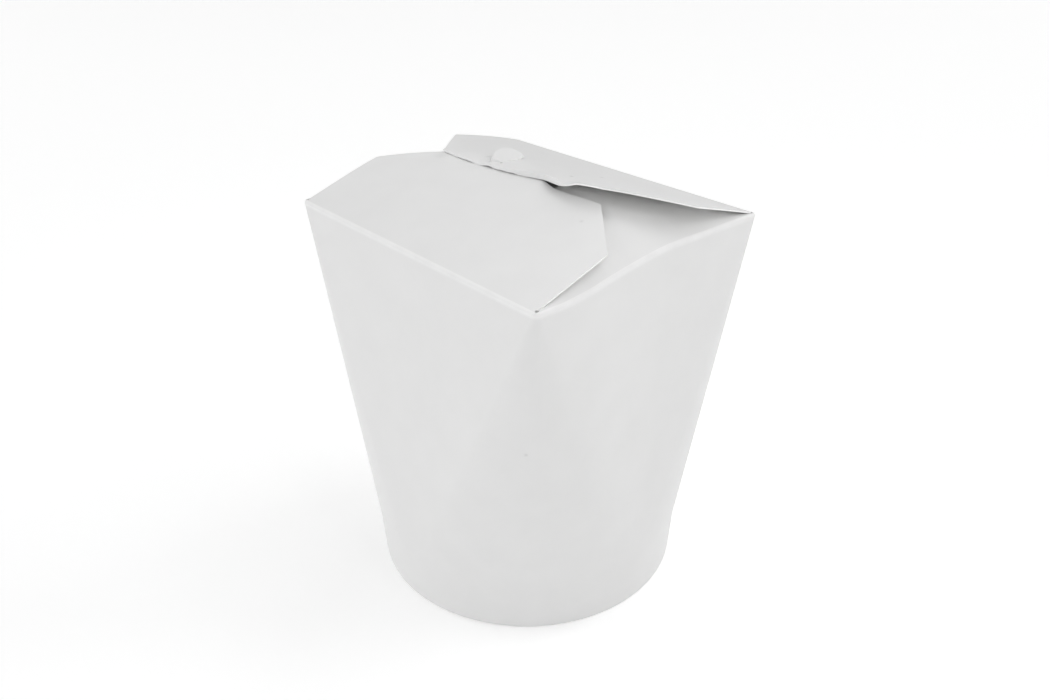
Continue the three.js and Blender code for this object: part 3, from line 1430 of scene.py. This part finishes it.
@dataclass
class BaseDisc:
    """The round board disc set up into the foot: a shallow cup, upside down.

    Attributes:
        top: The height of its upper face.
        flange_radius: The outer radius of its flange.
        flange_foot: The height of the flange's lower edge.
        board: The board's thickness.
        fold_radius: The outer radius of the fold between disc and flange.
        dish: How far the disc's middle sags.
        rings: Where the disc's rings of vertices are, from its middle (0) to the fold (1).
        fold_rows: The rows of vertices round the fold.
        steps: The columns of vertices round the disc.
    """

    top: float
    flange_radius: float
    flange_foot: float
    board: float = 0.5
    fold_radius: float = 0.9
    dish: float = 0.25
    rings: tuple[float, ...] = (0.25, 0.5, 0.75)
    fold_rows: int = 5
    steps: int = 180

    def build(self) -> bpy.types.Object:
        """Spin the disc's section into a closed cup.

        Returns:
            The disc's object.
        """
        mesh = bmesh.new()
        outline = self._outline()
        verts = [mesh.verts.new((radius, 0.0, height)) for radius, height in outline]
        edges = [mesh.edges.new(pair) for pair in zip(verts, verts[1:])]
        bmesh.ops.spin(
            mesh,
            geom=verts + edges,
            cent=(0.0, 0.0, 0.0),
            axis=(0.0, 0.0, 1.0),
            angle=2.0 * math.pi,
            steps=self.steps,
            use_merge=True,
        )
        bmesh.ops.remove_doubles(mesh, verts=mesh.verts, dist=0.001)
        bmesh.ops.recalc_face_normals(mesh, faces=mesh.faces)
        disc = to_part_frame(mesh, "base_disc_board")
        disc.data.set_sharp_from_angle(angle=SHARP_ANGLE)
        return disc

    def _outline(self) -> list[tuple[float, float]]:
        """List the disc's closed section from its lower middle round to its upper middle.

        Returns:
            Pairs of (radius, height), both ends on the axis.
        """
        inner = self.flange_radius - self.board
        bend = self.fold_radius
        under = self.top - self.board
        outline = [(0.0, under - self.dish)]
        for share in self.rings:
            radius = share * (inner - bend)
            outline.append((radius, under - self.dish * (1.0 - share**2)))
        for turn in quarter_turn(self.fold_rows):
            radius = inner - (bend - self.board) * (1.0 - math.sin(turn))
            outline.append((radius, under - (bend - self.board) * (1.0 - math.cos(turn))))
        outline += [(inner, self.flange_foot), (self.flange_radius, self.flange_foot)]
        for turn in quarter_turn(self.fold_rows):
            radius = self.flange_radius - bend * (1.0 - math.cos(turn))
            outline.append((radius, self.top - bend * (1.0 - math.sin(turn))))
        for share in reversed(self.rings):
            radius = share * (inner - bend)
            outline.append((radius, self.top - self.dish * (1.0 - share**2)))
        return outline + [(0.0, self.top - self.dish)]


# -------------------------------------------------------------------------------- objects, studio


def to_part_frame(mesh: BMesh, name: str) -> bpy.types.Object:
    """Scale a mesh from millimetres to metres and put it in the scene.

    Args:
        mesh: The mesh, which is freed.
        name: The object's name.

    Returns:
        The new object, at the origin.
    """
    bmesh.ops.scale(mesh, vec=(MILLIMETRE,) * 3, verts=mesh.verts)
    data = bpy.data.meshes.new(name)
    mesh.to_mesh(data)
    mesh.free()
    data.polygons.foreach_set("use_smooth", [True] * len(data.polygons))
    return put_in_scene(name, data)


def thicken(sheet: bpy.types.Object, board: float) -> bpy.types.Object:
    """Give a sheet its board's thickness, inwards from its outer face.

    Args:
        sheet: The sheet's object, with one surface.
        board: The thickness in millimetres.

    Returns:
        The same object, its mesh a closed shell with slots 0 outside, 1 inside and 2 on cut edges.
    """
    for finish in (COATED_FACE, INNER_FACE, CUT_EDGE_WITH_HIGHLIGHT):
        sheet.data.materials.append(finish.material())
    solid = sheet.modifiers.new("board", "SOLIDIFY")
    solid.thickness = board * MILLIMETRE
    solid.offset = -1.0
    solid.use_even_offset = True
    solid.use_rim = True
    solid.material_offset = 1
    solid.material_offset_rim = 2
    count = len(sheet.data.vertices)
    shaped = sheet.evaluated_get(bpy.context.evaluated_depsgraph_get())
    thick = bpy.data.meshes.new_from_object(shaped)
    limit = LONGEST_OFFSET * board * MILLIMETRE
    for outer, inner in zip(thick.vertices[:count], thick.vertices[count:]):
        offset = inner.co - outer.co
        if offset.length > limit:
            inner.co = outer.co + offset * (limit / offset.length)
    thick.set_sharp_from_angle(angle=SHARP_ANGLE)
    sheet.modifiers.clear()
    sheet.data = thick
    thick.name = sheet.name
    return sheet


def put_in_scene(name: str, data: bpy.types.ID) -> bpy.types.Object:
    """Make an object of a mesh, a camera or a light and put it in the scene.

    Args:
        name: The object's name.
        data: What it shows.

    Returns:
        The new object, at the origin.
    """
    made = bpy.data.objects.new(name, data)
    bpy.context.scene.collection.objects.link(made)
    return made


def aim_from(azimuth: float, elevation: float) -> Matrix:
    """Return the turn of a camera or a light that looks at the box.

    Args:
        azimuth: Its direction round the box, in degrees, 0 in front (-Y) and 90 on the right (+X).
        elevation: Its height above the horizon, in degrees.

    Returns:
        A rotation whose -Z axis points at the box.
    """
    turn = Matrix.Rotation(math.radians(azimuth), 3, "Z")
    return turn @ Matrix.Rotation(math.radians(90.0 - elevation), 3, "X")


@dataclass(frozen=True)
class Viewpoint:
    """Where the camera stands, in millimetres and degrees.

    Attributes:
        distance: From the camera to its target.
        azimuth: Its direction round the box, 0 in front (-Y) and 90 on the right (+X).
        elevation: Its height above the horizon.
        target_height: The target's height on the box's axis.
        target_across: The target's offset to the right.
        roll: The camera's turn about its own axis.
        lens: The focal length on a 36 mm wide sensor.
        nearest: The nearest distance that it shows, in metres.
    """

    distance: float = 307.35
    azimuth: float = 47.36
    elevation: float = 29.24
    target_height: float = 65.81
    target_across: float = -0.22
    roll: float = -0.51
    lens: float = 36.0
    nearest: float = 0.01

    def camera(self) -> None:
        """Place the camera and make it the scene's."""
        aim = aim_from(self.azimuth, self.elevation)
        roll = Matrix.Rotation(math.radians(self.roll), 3, "Z")
        target = Vector((0.0, 0.0, self.target_height))
        place = target + aim @ Vector((self.target_across, 0.0, self.distance))
        data = bpy.data.cameras.new("camera")
        data.lens = self.lens
        data.sensor_fit = "HORIZONTAL"
        data.clip_start = self.nearest
        made = put_in_scene("camera", data)
        made.matrix_world = Matrix.Translation(place * MILLIMETRE) @ (aim @ roll).to_4x4()
        bpy.context.scene.camera = made


@dataclass(frozen=True)
class SoftLight:
    """A square area light that faces the box.

    Attributes:
        name: Its name.
        azimuth: Its direction round the box, in degrees, 0 in front (-Y) and 90 on the right (+X).
        elevation: Its height above the horizon, in degrees.
        power: Its power in watts.
        distance: Its distance in metres.
        size: Its width in metres.
    """

    name: str
    azimuth: float
    elevation: float
    power: float
    distance: float = 2.6
    size: float = 1.8

    def add(self) -> None:
        """Put the light in the scene, facing the box."""
        aim = aim_from(self.azimuth, self.elevation)
        data = bpy.data.lights.new(self.name, "AREA")
        data.size = self.size
        data.energy = self.power
        place = aim @ Vector((0.0, 0.0, self.distance))
        lamp = put_in_scene(self.name, data)
        lamp.matrix_world = Matrix.Translation(place) @ aim.to_4x4()


@dataclass(frozen=True)
class Studio:
    """A plain white floor under soft light.

    Attributes:
        floor_size: The floor's width in metres.
        floor_tone: Its base colour.
        floor_glow: How much light it adds of its own, so that it shows as white.
        sky: The brightness of the even light from all round.
        lights: The area lights.
    """

    floor_size: float = 3.0
    floor_tone: float = 0.98
    floor_glow: float = 0.17
    sky: float = 0.19
    lights: tuple[SoftLight, ...] = (
        SoftLight("front_low", azimuth=0.0, elevation=8.0, power=15.4),
        SoftLight("front_right", azimuth=30.0, elevation=25.0, power=5.0),
        SoftLight("front_left", azimuth=-30.0, elevation=25.0, power=1.8),
        SoftLight("front_near", 47.0, 60.0, power=0.13, distance=0.5, size=0.25),
        SoftLight("left_low", azimuth=-60.0, elevation=25.0, power=15.2),
        SoftLight("left_high", azimuth=-60.0, elevation=50.0, power=8.0),
        SoftLight("left_back", azimuth=240.0, elevation=50.0, power=4.8),
        SoftLight("back_high", azimuth=190.0, elevation=50.0, power=6.4),
        SoftLight("top", azimuth=180.0, elevation=72.0, power=8.4),
        SoftLight("right_back_low", azimuth=150.0, elevation=25.0, power=16.8),
        SoftLight("right_back_high", azimuth=150.0, elevation=50.0, power=5.2),
        SoftLight("right_near", 95.0, 50.0, power=0.38, distance=0.5, size=0.25),
    )

    def build(self) -> None:
        """Make the floor, the sky and the lights."""
        mesh = bmesh.new()
        half = self.floor_size / 2 / MILLIMETRE
        bmesh.ops.create_grid(mesh, x_segments=4, y_segments=4, size=half)
        floor = to_part_frame(mesh, "floor")
        floor.data.materials.append(self._floor_material())
        for light in self.lights:
            light.add()
        world = bpy.data.worlds.new("sky")
        world.use_nodes = True
        background = world.node_tree.nodes["Background"]
        background.inputs["Color"].default_value = (1.0, 1.0, 1.0, 1.0)
        background.inputs["Strength"].default_value = self.sky
        bpy.context.scene.world = world
        bpy.context.scene.view_settings.view_transform = "Standard"

    def _floor_material(self) -> bpy.types.Material:
        """Make the floor's material.

        Returns:
            A plain white material that glows a little.
        """
        material = bpy.data.materials.new("white_floor")
        material.use_nodes = True
        shader = material.node_tree.nodes["Principled BSDF"]
        shader.inputs["Base Color"].default_value = (self.floor_tone,) * 3 + (1.0,)
        shader.inputs["Roughness"].default_value = 0.9
        shader.inputs["Specular IOR Level"].default_value = 0.1
        shader.inputs["Emission Color"].default_value = (1.0, 1.0, 1.0, 1.0)
        shader.inputs["Emission Strength"].default_value = self.floor_glow
        return material


# ------------------------------------------------------------------------------------------- main


def stand_for(piece: bpy.types.Object, node: str) -> None:
    """Let a piece ride on the body and replace its plain solid.

    Args:
        piece: The finished piece.
        node: The frame's node that it replaces.
    """
    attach(piece, BODY)
    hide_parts(node)
    log.info("%s: %d faces, replaces %s", piece.name, len(piece.data.polygons), node)


def main() -> None:
    """Build the box and the studio round it."""
    logging.basicConfig(level=logging.INFO, format="%(name)s: %(message)s")
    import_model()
    Viewpoint().camera()
    Studio().build()

    _, carton_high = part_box("carton")
    rim = Rim(half_length=carton_high[0] / MILLIMETRE)
    sheet = FoldedSheet(rim=rim, foot_radius=45.0, skirt_radius=carton_high[1] / MILLIMETRE)
    stand_for(sheet.build(), "carton")

    disc_low, disc_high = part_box("base_disc")
    disc = BaseDisc(
        top=disc_high[2] / MILLIMETRE,
        flange_radius=disc_high[0] / MILLIMETRE,
        flange_foot=disc_low[2] / MILLIMETRE,
    )
    made = disc.build()
    made.data.materials.append(DISC_FACE.material())
    stand_for(made, "base_disc")


if __name__ == "__main__":
    main()
